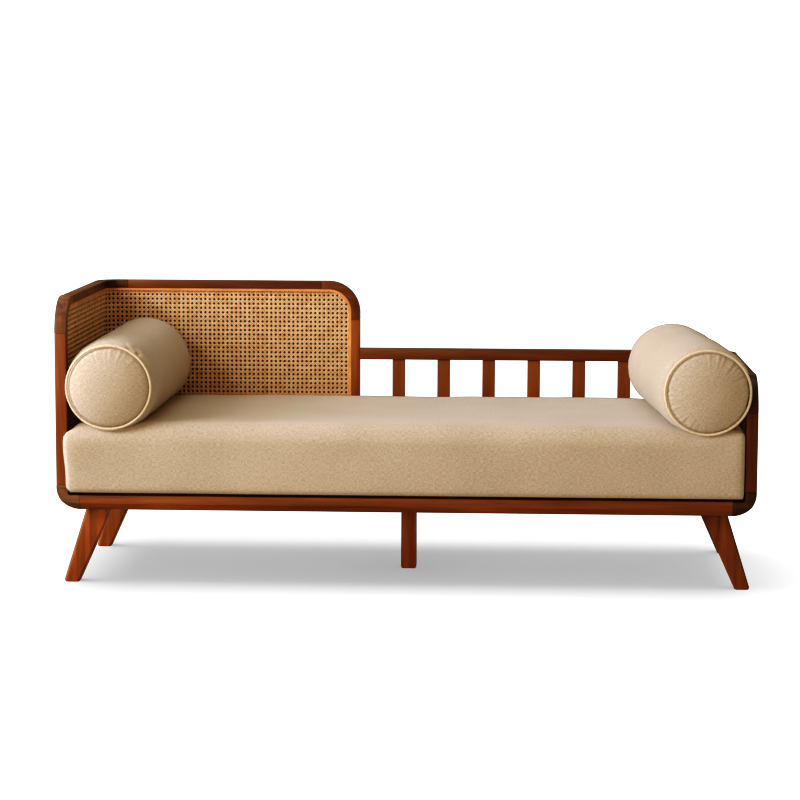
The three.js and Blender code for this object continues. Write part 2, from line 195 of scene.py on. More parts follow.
def wood(name, axis, light, middle, dark, figure=1.0):
    """Satin hardwood with its grain along one axis: broad growth bands, fine streaks and dark pores."""
    graph = Graph(name)
    along = AXES.index(axis)

    def stretch(amount):
        return tuple(amount if i == along else 1.0 for i in range(3))

    streaks = graph.noise(graph.place(stretch(0.05), 9.0), 42.0, 5.0, 0.62, 0.3)
    bands = graph.noise(graph.place(stretch(0.11), 4.0), 15.0 * figure, 3.0, 0.5, 1.1)
    pores = graph.noise(graph.place(stretch(0.018), 5.0), 420.0, 2.0, 0.5)
    slow = graph.noise(graph.place((1.0, 1.0, 1.0), 3.0), 4.0, 2.0, 0.5)
    base = graph.ramp(streaks, (0.34, dark), (0.50, middle), (0.68, light))
    broad = graph.ramp(bands, (0.35, dark), (0.62, light))
    base = graph.mix(0.38, base, broad)
    shade = graph.levels(slow, 0.3, 0.7, 0.82, 1.12)
    base = graph.mix(1.0, base, shade, "MULTIPLY")
    pore_mask = graph.levels(pores, 0.60, 0.68)
    base = graph.mix(graph.math("MULTIPLY", pore_mask, 0.42), base, shaded(dark, 0.3))
    # Convex edges are drawn lighter: partly rubbed wear, partly a painted highlight along the edges.
    edges = graph.wire("ShaderNodeNewGeometry", {}, "Pointiness")
    edge_wear_and_highlight = graph.levels(edges, 0.52, 0.60, 0.0, 0.3)
    base = graph.mix(edge_wear_and_highlight, base, shaded(light, 1.4))
    graph.surface(base, graph.levels(streaks, 0.3, 0.7, 0.44, 0.32), 0.22)
    relief = graph.math("SUBTRACT", graph.math("MULTIPLY", streaks, 0.5), pore_mask)
    graph.bump(relief, 0.22, 0.0004)
    return graph.material


def rail_wood(axis, tone):
    colours = [srgb(143, 77, 36), srgb(115, 58, 26), srgb(76, 36, 15)]
    return wood(f"hardwood_{axis}_{tone}", axis, *[shaded(colour, tone) for colour in colours])


def block_wood(axis, tone):
    """The corner blocks show more end grain, so they took the stain darker and greyer. The arm rails take
    it too, as painted shade.
    """
    colours = [srgb(124, 82, 55), srgb(92, 56, 34), srgb(52, 29, 18)]
    return wood(f"corner_hardwood_{axis}_{tone}", axis, *[shaded(colour, tone) for colour in colours], 1.8)


def plywood():
    """The hidden deck panels: bare veneer with its grain along the daybed."""
    graph = Graph("plywood")
    figure = graph.noise(graph.place((0.06, 1.0, 1.0), 2.0), 16.0, 4.0, 0.6, 1.6)
    specks = graph.noise(graph.place((0.05, 1.0, 1.0)), 300.0, 2.0)
    tone = graph.ramp(figure, (0.3, srgb(150, 108, 66)), (0.7, srgb(206, 168, 118)))
    tone = graph.mix(graph.levels(specks, 0.6, 0.7, 0.0, 0.4), tone, srgb(96, 62, 36))
    graph.surface(tone, graph.levels(figure, 0.3, 0.7, 0.75, 0.6))
    graph.bump(figure, 0.15, 0.0005)
    return graph.material


def stained_board():
    """The nearly black boards behind the cane."""
    graph = Graph("stained_board")
    grain = graph.noise(graph.place((1.0, 1.0, 0.06), 2.0), 60.0, 4.0)
    tone = graph.ramp(grain, (0.3, srgb(14, 9, 6)), (0.7, srgb(34, 22, 14)))
    graph.surface(tone, graph.levels(grain, 0.3, 0.7, 0.85, 0.7))
    graph.bump(grain, 0.1, 0.0004)
    return graph.material


def cane():
    """Golden rattan strands: each has its own tone, with fine lines along it and a soft gloss."""
    graph = Graph("cane")
    tone = graph.attribute("strand_tone", "Fac")
    patches = graph.noise(graph.place(), 38.0, 3.0)
    fibres = graph.noise(graph.place((1.0, 1.0, 0.4)), 620.0, 2.0)
    mixed = graph.math("ADD", graph.math("MULTIPLY", tone, 0.55), graph.math("MULTIPLY", patches, 0.45))
    deep, middle, pale = srgb(214, 158, 110), srgb(246, 201, 155), srgb(254, 226, 190)
    base = graph.ramp(mixed, (0.22, deep), (0.5, middle), (0.8, pale))
    base = graph.mix(graph.levels(fibres, 0.5, 0.75, 0.0, 0.35), base, srgb(180, 118, 62))
    graph.surface(base, graph.levels(fibres, 0.3, 0.7, 0.38, 0.55), 0.45)
    graph.bump(fibres, 0.2, 0.0003)
    return graph.material


def cane_bead():
    """The darker split cane round the webbing's edge."""
    graph = Graph("cane_bead")
    tone = graph.noise(graph.place((0.3, 0.3, 0.3)), 60.0, 4.0)
    fibres = graph.noise(graph.place((0.2, 0.2, 1.0)), 700.0, 2.0)
    base = graph.ramp(tone, (0.3, srgb(190, 112, 56)), (0.7, srgb(226, 150, 86)))
    base = graph.mix(graph.levels(fibres, 0.55, 0.75, 0.0, 0.4), base, srgb(140, 78, 36))
    graph.surface(base, graph.levels(fibres, 0.3, 0.7, 0.36, 0.5))
    graph.bump(fibres, 0.2, 0.0003)
    return graph.material


THREAD = 1.3 * MM  # from one thread of the cloth to the next


def linen(name, pale, middle, deep):
    """Plain-weave cloth: warp and weft threads with slubs, from each face's own thread directions."""
    graph = Graph(name)
    thread = graph.attribute("thread")
    across_warp, across_weft = (graph.wire("ShaderNodeSeparateXYZ", {0: thread}, way) for way in "XY")
    turns = TURN / THREAD

    def ridges(value):
        wave = graph.math("SINE", graph.math("MULTIPLY", value, turns), 0.0)
        return graph.math("ADD", graph.math("MULTIPLY", wave, 0.5), 0.5)

    def slubs(across, along, scale):
        stretched = graph.vector("MULTIPLY", thread, (across, along, 1.0))
        return graph.noise(stretched, scale, 3.0, 0.6)

    warp = graph.math("MULTIPLY", ridges(across_warp), slubs(1.0, 0.12, 720.0))
    weft = graph.math("MULTIPLY", ridges(across_weft), slubs(0.12, 1.0, 720.0))
    weave = graph.math("ADD", warp, weft)
    heather = graph.math("ADD", slubs(1.0, 0.2, 620.0), slubs(0.2, 1.0, 560.0))
    clouds = graph.noise(graph.place(), 5.0, 2.0)
    tone = graph.ramp(graph.levels(heather, 0.75, 1.25), (0.1, deep), (0.5, middle), (0.9, pale))
    shade = graph.levels(weave, 0.1, 0.8, 0.94, 1.04)
    tone = graph.mix(1.0, tone, shade, "MULTIPLY")
    tone = graph.mix(1.0, tone, graph.levels(clouds, 0.35, 0.65, 0.96, 1.03), "MULTIPLY")
    graph.surface(tone, graph.levels(weave, 0.1, 0.8, 0.98, 0.86), 0.2)
    graph.shader.inputs["Sheen Weight"].default_value = 0.2
    graph.shader.inputs["Sheen Roughness"].default_value = 0.5
    graph.bump(weave, 0.45, 0.0006)
    return graph.material


def pale_floor():
    graph = Graph("pale_floor")
    soft = graph.noise(graph.place(), 0.7, 2.0)
    grey = graph.ramp(soft, (0.0, (0.76, 0.76, 0.76, 1)), (1.0, (0.8, 0.8, 0.8, 1)))
    graph.surface(grey, 0.9, 0.0)
    return graph.material


# ---- CAD nodes that stay: eased edges and a finer material ----


SHARP_ANGLE = math.radians(32.0)  # an edge is rounded, and shaded as an edge, above this
WELD_GAP = 0.00001


def edge_smoothing():
    """Nodes that shade a mesh smooth except where two faces meet at more than a set angle."""
    tree = bpy.data.node_groups.new("smooth_by_edge", "GeometryNodeTree")
    tree.interface.new_socket("Geometry", in_out="INPUT", socket_type="NodeSocketGeometry")
    tree.interface.new_socket("Geometry", in_out="OUTPUT", socket_type="NodeSocketGeometry")
    start = tree.nodes.new("NodeGroupInput")
    end = tree.nodes.new("NodeGroupOutput")
    drop = tree.nodes.new("GeometryNodeRemoveAttribute")
    drop.inputs["Name"].default_value = "custom_normal"
    faces = tree.nodes.new("GeometryNodeSetShadeSmooth")
    faces.domain = "FACE"
    edges = tree.nodes.new("GeometryNodeSetShadeSmooth")
    edges.domain = "EDGE"
    angle = tree.nodes.new("GeometryNodeInputMeshEdgeAngle")
    below = tree.nodes.new("FunctionNodeCompare")
    below.operation = "LESS_THAN"
    below.inputs["B"].default_value = SHARP_ANGLE
    link = tree.links.new
    link(start.outputs[0], drop.inputs["Geometry"])
    link(drop.outputs["Geometry"], faces.inputs["Geometry"])
    link(faces.outputs["Geometry"], edges.inputs["Geometry"])
    link(angle.outputs["Unsigned Angle"], below.inputs["A"])
    link(below.outputs["Result"], edges.inputs["Shade Smooth"])
    link(edges.outputs["Geometry"], end.inputs[0])
    return tree


SMOOTHING = edge_smoothing()


def ease(node, width):
    """Welds a CAD node's split corners, rounds its edges and shades it, all as modifiers."""
    weld = node.modifiers.new("weld", "WELD")
    weld.merge_threshold = WELD_GAP
    bevel = node.modifiers.new("eased_edges", "BEVEL")
    bevel.width = width
    bevel.segments = 3
    bevel.limit_method = "ANGLE"
    bevel.angle_limit = SHARP_ANGLE
    smooth = node.modifiers.new("smooth_by_edge", "NODES")
    smooth.node_group = SMOOTHING


def finish_node(name, material, width):
    node = frame["nodes"][name]
    node.data.materials.clear()
    node.data.materials.append(material)
    ease(node, width)


def grain_axis(name):
    low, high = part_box(name)
    sides = [high[i] - low[i] for i in range(3)]
    return AXES[sides.index(max(sides))]


# The axis that a block's grain follows. In the other blocks it runs along Y.
BLOCK_GRAIN = {
    "front_left_base_block": "X",
    "front_right_base_block": "X",
    "left_arm_front_block": "Z",
    "right_arm_front_block": "Z",
    "high_back_end_block": "X",
}
ARM_RAILS_DARKENED_AS_SHADE = ("left_arm_rail", "right_arm_rail")  # drawn with the corner blocks' darker stain as painted shade, for the shadow they lie in
RED_BLOCKS = ("high_back_end_block",)  # stained like the rails
# How much lighter or darker each piece of wood is than the usual stain. Part of this is each piece's own
# stain and part is painted light and shade: the legs are lightened as painted light where the body shades
# them, and the pieces at the right end are darkened as painted shade.
STAIN_AND_PAINTED_LIGHT_TONES = {
    "front_left_post": 0.9,
    # painted light: the legs are drawn lighter where the body shades them, the centre leg most
    "front_left_leg": 1.4,
    "back_left_leg": 1.3,
    "centre_leg": 1.7,
    "back_stile": 1.05,
    "high_back_rail": 0.57,
    "high_back_end_block": 0.7,
    "low_back_rail": 0.6,
    "left_arm_rail": 0.7,
    "high_back_corner_block": 0.4,
    # painted shade: the pieces at the right end are drawn darker, as the light falls off to the right
    "front_right_post": 0.5,
    "front_right_base_block": 0.25,
    "right_arm_front_block": 0.22,
    "right_arm_rail": 0.3,
    "low_back_corner_block": 0.4,
}
STAIN_AND_PAINTED_LIGHT_TONES.update({f"back_slat_{i}": 0.78 for i in range(1, 9)})
# painted shade: the arm slats at the right end are drawn darker
STAIN_AND_PAINTED_LIGHT_TONES.update({f"arm_slat_{i}": 0.3 for i in range(1, 6)})
EASED = 1.6 * MM  # how far the edges of the wood are rounded
SMALL_EASED = 0.8 * MM


def finish_wood():
    made = {}
    boards = {"stained_board": stained_board(), "plywood": plywood()}
    bead = cane_bead()
    for part in frame["record"]["subparts"]:
        name, slot = part["node"], part["material_slot"]
        if slot in ("wood", "corner_wood"):
            is_block = (slot == "corner_wood" and name not in RED_BLOCKS) or name in ARM_RAILS_DARKENED_AS_SHADE
            axis = BLOCK_GRAIN.get(name, "Y") if slot == "corner_wood" else grain_axis(name)
            key = (is_block, axis, STAIN_AND_PAINTED_LIGHT_TONES.get(name, 1.0))
            if key not in made:
                made[key] = (block_wood if is_block else rail_wood)(*key[1:])
            finish_node(name, made[key], EASED)
        elif slot in boards:
            finish_node(name, boards[slot], SMALL_EASED)
        elif name.endswith("cane_bead"):
            finish_node(name, bead, SMALL_EASED)


finish_wood()


# ---- New pieces ----


def new_piece(name, points, faces, material, body):
    mesh = bpy.data.meshes.new(name)
    mesh.from_pydata([tuple(p) for p in points], [], [tuple(f) for f in faces])
    mesh.update()
    piece = add_object(name, mesh)
    mesh.materials.append(material)
    mesh.polygons.foreach_set("use_smooth", [True] * len(mesh.polygons))
    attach(piece, body)
    return piece


# ---- Cane webbing: six sets of strands, woven, following the panel round the back corner ----

MESH_PITCH = 12.7 * MM  # from one hole to the next
PAIR_HALF = 1.5 * MM  # half the distance between the two strands of a pair
STRAND_WIDTH = 2.0 * MM
DIAGONAL_WIDTH = 2.1 * MM
STRAND_THICKNESS = 0.62 * MM
WEAVE_LIFT = 0.42 * MM  # how far a strand rises or dips where it crosses another
FRONT_CORNER = 60.7 * MM  # radius of the panel's upper front corner
BACK_CORNER = 65.2 * MM  # radius of the panel's upper right corner
BEND_STEPS = 12
CORNER_STEPS = 8
HALF_SHEET = 1.0 * MM  # half the thickness of the CAD sheet
EDGE_GAP = 0.5 * MM  # kept free round the edge of the webbing
SINK_SHARE = 0.9  # of the lift, at an upright strand's crossings
DIAGONAL_SHARE = 1.15  # of the lift, at a diagonal strand's crossings


class Panel:
    """One cane sheet, unrolled: u runs from the front post round the corner to the stile, v is height."""

    def __init__(self, node, faces_in):
        low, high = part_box(node)
        bend_low, bend_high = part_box("corner_panel_board")
        self.centre = (bend_high[0], bend_low[1])
        self.radius = (self.centre[0] - low[0]) - HALF_SHEET
        self.inward = 1.0 if faces_in else -1.0
        self.front = low[1]
        self.bottom, self.top = low[2], high[2]
        self.bend_start = self.centre[1] - self.front
        self.bend_end = self.bend_start + self.radius * math.pi / 2
        self.end = self.bend_end + (high[0] - self.centre[0])

    def at(self, u, v, height):
        """A point of the sheet: height is measured off the sheet, on the side that shows."""
        u, v, height = np.broadcast_arrays(u, v, height)
        lift = self.inward * height
        turn = np.clip((u - self.bend_start) / self.radius, 0.0, math.pi / 2)
        reach = self.radius - lift
        x = self.centre[0] - reach * np.cos(turn) + np.maximum(u - self.bend_end, 0.0)
        y = self.centre[1] + reach * np.sin(turn) + np.minimum(u - self.bend_start, 0.0)
        return np.stack([x, y, v], axis=-1)

    def outline(self, margin):
        """The sheet's edge as a convex polygon in (u, v)."""
        left, right = margin, self.end - margin
        bottom, top = self.bottom + margin, self.top - margin
        points = [(left, bottom), (right, bottom)]
        for centre_u, radius, start in (
            (right - BACK_CORNER, BACK_CORNER, 0.0),
            (left + FRONT_CORNER, FRONT_CORNER, math.pi / 2),
        ):
            for step in range(CORNER_STEPS + 1):
                angle = start + step / CORNER_STEPS * math.pi / 2
                across, up = radius * math.cos(angle), radius * math.sin(angle)
                points.append((centre_u + across, top - radius + up))
        return points


def clip_line(start, end, outline):
    """The part of a line inside a convex polygon whose points run anticlockwise."""
    first, last = 0.0, 1.0
    du, dv = end[0] - start[0], end[1] - start[1]
    for (au, av), (bu, bv) in zip(outline, outline[1:] + outline[:1]):
        normal = (-(bv - av), bu - au)
        inside = (start[0] - au) * normal[0] + (start[1] - av) * normal[1]
        gain = du * normal[0] + dv * normal[1]
        if abs(gain) < 1e-12:
            if inside < 0:
                return None
            continue
        cross = -inside / gain
        if gain > 0:
            first = max(first, cross)
        else:
            last = min(last, cross)
    if last - first < 1e-4:
        return None
    return first, last


class Weave:
    """Collects strands, each a closed lens-shaped ribbon, into one mesh."""

    def __init__(self, panel, seed):
        self.panel = panel
        self.outline = panel.outline(EDGE_GAP)
        self.rng = np.random.default_rng(seed)
        self.points, self.faces, self.tones = [], [], []
        self.count = 0

    def strand(self, line, width, height_at, tone):
        """Adds one ribbon along (u, v) points. height_at gives its centre's height at each of them."""
        line = np.array(line)
        along = line[-1] - line[0]
        along /= np.linalg.norm(along)
        across = np.array([-along[1], along[0]]) * width / 2
        heights = np.array([height_at(u, v) for u, v in line])
        thick = STRAND_THICKNESS / 2
        u, v = line.T
        sides = (
            self.panel.at(u - across[0], v - across[1], heights),
            self.panel.at(u, v, heights - thick),
            self.panel.at(u + across[0], v + across[1], heights),
            self.panel.at(u, v, heights + thick),
        )
        rings = np.stack(sides, axis=1)
        n = len(line)
        base = self.count + 4 * np.arange(n - 1)[:, None]
        corner = np.arange(4)[None, :]
        near, far = base + corner, base + (corner + 1) % 4
        quads = np.stack([near, far, far + 4, near + 4], axis=-1)
        self.faces.extend(quads.reshape(-1, 4).tolist())
        end = self.count + 4 * (n - 1)
        self.faces.append([self.count + i for i in (3, 2, 1, 0)])
        self.faces.append([end + i for i in range(4)])
        self.points.append(rings.reshape(-1, 3))
        self.tones.append(np.full(4 * n, tone))
        self.count += 4 * n

    def lay(self, start, end, marks, width, height_at):
        """Adds a straight strand, cut to the outline, with joints at the marks along its way."""
        kept = clip_line(start, end, self.outline)
        if kept is None:
            return
        first, last = kept
        shares = [first] + sorted(t for t in marks if first + 1e-3 < t < last - 1e-3) + [last]
        run, rise = end[0] - start[0], end[1] - start[1]
        line = [(start[0] + t * run, start[1] + t * rise) for t in shares]
        self.strand(line, width, height_at, self.rng.uniform())


def bend_marks(panel):
    """The places along u where a strand gets a joint, so that it can follow the bend."""
    span = panel.bend_end - panel.bend_start
    return [panel.bend_start + step / BEND_STEPS * span for step in range(BEND_STEPS + 1)]


def upright_strands(weave):
    panel = weave.panel
    rows = np.arange(panel.bottom, panel.top, MESH_PITCH)
    for column in range(int(panel.end / MESH_PITCH) + 2):
        for side in (-1, 1):
            u = column * MESH_PITCH + side * PAIR_HALF
            low, high = panel.bottom - 1.0, panel.top + 1.0
            marks = [(v - low) / (high - low) for v in rows]

            def height(_, v, side=side):
                row = round((v - panel.bottom) / MESH_PITCH)
                return WEAVE_LIFT * SINK_SHARE * (side if row % 2 else -side)

            weave.lay((u, low), (u, high), marks, STRAND_WIDTH, height)


def level_strands(weave):
    panel = weave.panel
    for row in range(int((panel.top - panel.bottom) / MESH_PITCH) + 2):
        for side in (-1, 1):
            v = panel.bottom + row * MESH_PITCH + side * PAIR_HALF
            left, right = -1.0, panel.end + 1.0
            marks = [(u - left) / (right - left) for u in bend_marks(panel)]
            weave.lay((left, v), (right, v), marks, STRAND_WIDTH, lambda u, v: 0.0)


def diagonal_strands(weave, slope):
    """Strands at 45 degrees. Rising ones pass under the uprights and over the levels.

    Falling ones do the reverse.
    """
    panel = weave.panel
    height = panel.top - panel.bottom
    run = slope * height
    half = MESH_PITCH / 2

    def lift(_, v):
        at_level = math.cos(TURN * (v - panel.bottom) / MESH_PITCH)
        return slope * WEAVE_LIFT * DIAGONAL_SHARE * at_level

    for index in range(-1, int((panel.end + height) / MESH_PITCH) + 2):
        offset = index * MESH_PITCH + half
        foot = offset - height if slope > 0 else offset
        marks = [step * half / height for step in range(int(height / half) + 1)]
        marks += [(u - foot) / run for u in bend_marks(panel)]
        weave.lay((foot, panel.bottom), (foot + run, panel.top), marks, DIAGONAL_WIDTH, lift)


def cane_sheet(node, name, faces_in, seed, material):
    weave = Weave(Panel(node, faces_in), seed)
    upright_strands(weave)
    level_strands(weave)
    diagonal_strands(weave, 1)
    diagonal_strands(weave, -1)
    points = np.concatenate(weave.points)
    piece = new_piece(name, points, weave.faces, material, "frame")
    tone = piece.data.attributes.new("strand_tone", "FLOAT", "POINT")
    tone.data.foreach_set("value", np.concatenate(weave.tones).astype(np.float32))
    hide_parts(node)


def weave_cane():
    material = cane()
    cane_sheet("inner_cane", "inner_cane_weave", True, 11, material)
    cane_sheet("outer_cane", "outer_cane_weave", False, 12, material)


weave_cane()


# ---- Soft goods ----


def smooth_max(value, floor, softness):
    """value, but never below floor, blended over softness."""
    over = (value - floor) / softness
    return floor + softness * np.logaddexp(0.0, over)


def bell(value, width):
    """A smooth bump that is 1 at zero and fades over width."""
    return np.exp(-((value / width) ** 2))


def smooth_step(value, low, high):
    share = np.clip((value - low) / (high - low), 0.0, 1.0)
    return share * share * (3.0 - 2.0 * share)


def ripple(points, seed, size, waves=7):
    """A smooth seeded field from -1 to 1 whose bumps are about size across."""
    rng = np.random.default_rng(seed)
    total = np.zeros(len(points))
    for _ in range(waves):
        direction = rng.normal(size=3)
        direction /= np.linalg.norm(direction)
        length = size * rng.uniform(0.7, 1.6)
        total += np.sin(points @ direction * TURN / length + rng.uniform(0, TURN))
    return total / math.sqrt(waves)


def set_threads(piece, formula):
    """Writes each face corner's thread coordinates. formula takes corner points and face normals."""
    mesh = piece.data
    count = len(mesh.loops)
    corner_point = np.empty(count, dtype=np.int32)
    mesh.loops.foreach_get("vertex_index", corner_point)
    points = np.empty(3 * len(mesh.vertices))
    mesh.vertices.foreach_get("co", points)
    points = points.reshape(-1, 3)[corner_point]
    face_normals = np.empty(3 * len(mesh.polygons))
    mesh.polygons.foreach_get("normal", face_normals)
    sizes = np.empty(len(mesh.polygons), dtype=np.int32)
    mesh.polygons.foreach_get("loop_total", sizes)
    normals = np.repeat(face_normals.reshape(-1, 3), sizes, axis=0)
    data = formula(points, normals)
    layer = mesh.attributes.new("thread", "FLOAT_VECTOR", "CORNER")
    layer.data.foreach_set("vector", data.astype(np.float32).ravel())


def flat_threads(points, normals):
    """Threads for a boxy cushion: each face takes the two axes that it lies along."""
    main = np.abs(normals).argmax(axis=1)
    x, y, z = points.T
    u = np.where(main == 0, y, x)
    v = np.where(main == 2, y, z)
    return np.stack([u, v, np.zeros_like(u)], axis=1)


MATTRESS_TOP_EDGE = 40 * MM
MATTRESS_BOTTOM_EDGE = 7 * MM
MATTRESS_FRONT_CORNER = 12 * MM
MATTRESS_BACK_CORNER = 36 * MM
MATTRESS_BULGE = 9 * MM
OVERHANG = 14 * MM  # how far the bulging front spreads over the left post
MATTRESS_CROWN = 9 * MM
MATTRESS_GRID = 14 * MM
TIGHTER_EDGE = 22 * MM  # how much smaller the top edge's radius is at the right end
WALL_FADE = 50 * MM  # how far inside the front its bulge dies out
LEFT_CORNER = 7 * MM  # how far the front's upper left corner stands out
PRESSED_WIDTH = 85 * MM  # of the hollow under each bolster
PRESSED_DEPTH = 1.5 * MM  # of that hollow, below the CAD box, at full weight
PRESSED_SHARE = 0.75  # of the full weight that each bolster has


def crown_at(x, y):
    """How far the mattress's top stands above the CAD box. It is pressed under the bolsters."""
    low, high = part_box("mattress")
    across = 1.0 - np.abs((x - (low[0] + high[0]) / 2) / ((high[0] - low[0]) / 2)) ** 24
    deep = 1.0 - np.abs((y - (low[1] + high[1]) / 2) / ((high[1] - low[1]) / 2)) ** 20
    pressed = np.zeros_like(x)
    for name in ("left_bolster", "right_bolster"):
        bolster_low, bolster_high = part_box(name)
        middle = (bolster_low[0] + bolster_high[0]) / 2
        pressed += bell(x - middle, PRESSED_WIDTH)
    full = MATTRESS_CROWN * np.clip(across, 0, 1) * np.clip(deep, 0, 1)
    return full - (full + PRESSED_DEPTH) * np.clip(pressed, 0, 1) * PRESSED_SHARE


def top_edge(x):
    """Radius of the mattress's top edge: tighter at the right end, under the bolster."""
    return MATTRESS_TOP_EDGE - TIGHTER_EDGE * smooth_step(x, 0.74, 0.84)


def mattress_surface(x, y):
    """Height of the mattress's top, with its rounded front edge."""
    low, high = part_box("mattress")
    radius = top_edge(x)
    inset = np.clip(radius - (y - low[1]), 0.0, radius)
    rounding = radius - np.sqrt(np.maximum(radius**2 - inset**2, 0.0))
    return high[2] + crown_at(x, y) - rounding


def grid_box(low, high, step):
    """A closed box surface cut into squares about step across."""
    made = bmesh.new()
    bmesh.ops.create_cube(made, size=1.0)
    size = Vector(high) - Vector(low)
    centre = (Vector(high) + Vector(low)) / 2
    for vert in made.verts:
        vert.co = Vector([vert.co[i] * size[i] for i in range(3)]) + centre
    for axis in range(3):
        cuts = int(size[axis] / step)
        for i in range(cuts):
            normal = [0.0, 0.0, 0.0]
            normal[axis] = 1.0
            place = [0.0, 0.0, 0.0]
            place[axis] = low[axis] + size[axis] * (i + 1) / (cuts + 1)
            everything = made.verts[:] + made.edges[:] + made.faces[:]
            bmesh.ops.bisect_plane(made, geom=everything, plane_co=place, plane_no=normal)
    return made


def round_plan(points, low, high):
    """Rounds the upright edges, and returns each point's depth inside the wall and its way inwards."""
    x, y = points[:, 0], points[:, 1]
    radius = np.where(y > (low[1] + high[1]) / 2, MATTRESS_BACK_CORNER, MATTRESS_FRONT_CORNER)
    centre_x = np.clip(x, low[0] + radius, high[0] - radius)
    centre_y = np.clip(y, low[1] + radius, high[1] - radius)
    off = np.stack([x - centre_x, y - centre_y], axis=1)
    length = np.linalg.norm(off, axis=1)
    square = np.abs(off).max(axis=1)
    in_corner = (np.abs(off) > 1e-9).all(axis=1)
    scale = np.where(in_corner, square / np.maximum(length, 1e-12), 1.0)
    points[:, 0] = np.where(in_corner, centre_x + off[:, 0] * scale, x)
    points[:, 1] = np.where(in_corner, centre_y + off[:, 1] * scale, y)
    sides = np.stack([x - low[0], high[0] - x, y - low[1], high[1] - y], axis=1)
    nearest = sides.argmin(axis=1)
    depth = np.where(in_corner, radius - square, sides.min(axis=1))
    ways = np.array([[1.0, 0.0], [-1.0, 0.0], [0.0, 1.0], [0.0, -1.0]])
    inward = ways[nearest]
    corner_way = -off / np.maximum(length, 1e-12)[:, None]
    inward = np.where(in_corner[:, None], corner_way, inward)
    return depth, inward


def round_edge(depth, drop, radius):
    """Turns the square edge between a wall and a level face into an arc."""
    a, b = depth - radius, drop - radius
    inside = (a < 0) & (b < 0)
    length = np.hypot(a, b)
    square = np.maximum(-a, -b)
    scale = np.where(inside, square / np.maximum(length, 1e-12), 1.0)
    return np.where(inside, radius + a * scale, depth), np.where(inside, radius + b * scale, drop)


def mattress_points(points, low, high):
    """Turns a box into the mattress: rounded edges, then a bulging front, a crown and soft waves."""
    depth, inward = round_plan(points, low, high)
    x, y, z = points.T  # views: a change to one of them changes the points
    top_depth, drop = round_edge(depth, high[2] - z, top_edge(x))
    low_depth, rise = round_edge(depth, z - low[2], MATTRESS_BOTTOM_EDGE)
    upper = z > (low[2] + high[2]) / 2
    new_depth = np.where(upper, top_depth, low_depth)
    points[:, :2] += inward * (new_depth - depth)[:, None]
    z[:] = np.where(upper, high[2] - drop, low[2] + rise)
    middle = 1.0 - ((z - low[2]) / (high[2] - low[2]) * 2.0 - 1.0) ** 2
    wall = np.exp(-np.maximum(new_depth, 0.0) / WALL_FADE)
    front = inward[:, 1] > 0.5
    bulge = MATTRESS_BULGE * (0.75 + 0.25 * middle) * wall * np.where(front, 1.0, 0.0)
    y -= bulge
    corner = bell(x - low[0], 80 * MM) * smooth_step(z, 0.3, 0.4)
    corner_fade = np.exp(-np.maximum(new_depth, 0.0) / (20 * MM))
    y -= np.where(front, corner, 0.0) * LEFT_CORNER * corner_fade
    proud = smooth_step(low[1] - y, 1.4 * MM, 4.5 * MM)
    beside = smooth_step(-x, -low[0] - 45 * MM, -low[0])
    x -= OVERHANG * (0.65 + 0.35 * smooth_step(z, 0.29, 0.37)) * proud * beside
    top_share = smooth_step(z, low[2] + 0.6 * (high[2] - low[2]), high[2])
    z += crown_at(x, y) * top_share
    wave = ripple(points, 21, 0.24) * 0.9 * MM + ripple(points, 22, 0.09) * 0.35 * MM
    y -= np.where(front, wave, 0.0) * wall
    z += wave * top_share
    return points


def make_mattress(material):
    low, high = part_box("mattress")
    made = grid_box(low, high, MATTRESS_GRID)
    mesh = bpy.data.meshes.new("mattress_cover")
    made.to_mesh(mesh)
    made.free()
    points = np.empty(3 * len(mesh.vertices))
    mesh.vertices.foreach_get("co", points)
    points = mattress_points(points.reshape(-1, 3), low, high)
    faces = [list(polygon.vertices) for polygon in mesh.polygons]
    piece = new_piece("mattress_cover", points, faces, material, "mattress")
    set_threads(piece, flat_threads)
    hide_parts("mattress")


RING_RADIUS = 109.0 * MM  # of the piping's centre line
PIPING_RADIUS = 3.2 * MM
PIPING_SIDES = 10
PIPING_WRINKLES = 120
SEAM_DEPTH = 7.5 * MM  # how far the seam lies behind the piping's centre
SEAM_INSET = 3.0 * MM
CAP_DOMES = (25 * MM, 9 * MM)  # the back end is pressed flat by the back of the daybed
AROUND = 240  # points in a ring
ALONG = 130  # rings along the body
CAP_RINGS = 40
FRONT_PROUD = 8 * MM  # how far the front piping stands out past the frame
BACK_CLEAR = 7 * MM  # from the back piping to the end of the CAD bolster
BACK_RISE = 3 * MM  # how much higher the bolster's back end lies
WIDENING = 1.015  # a bolster is a little wider than it is high
NO_RAIL = 10.0  # a height above everything, for the end that has no low arm rail
LYING_GAP = 0.8 * MM  # between a bolster and what it lies on or leans on
SPREAD_IN_FRONT = 12 * MM  # over the post, in front of the frame
SPREAD_OVER_RAIL = 9 * MM
SWELL_PLACES = (0.0, 0.08, 0.9, 1.0)  # shares of the length where the swell is given
# Depth behind the front ring, angle in degrees and strength of each pinch.
PINCHES = {
    "left_bolster": ((12 * MM, 62.0, 1.15), (17 * MM, 49.0, 0.75)),
    "right_bolster": ((13 * MM, 152.0, 0.25), (14 * MM, 100.0, 0.2)),
}


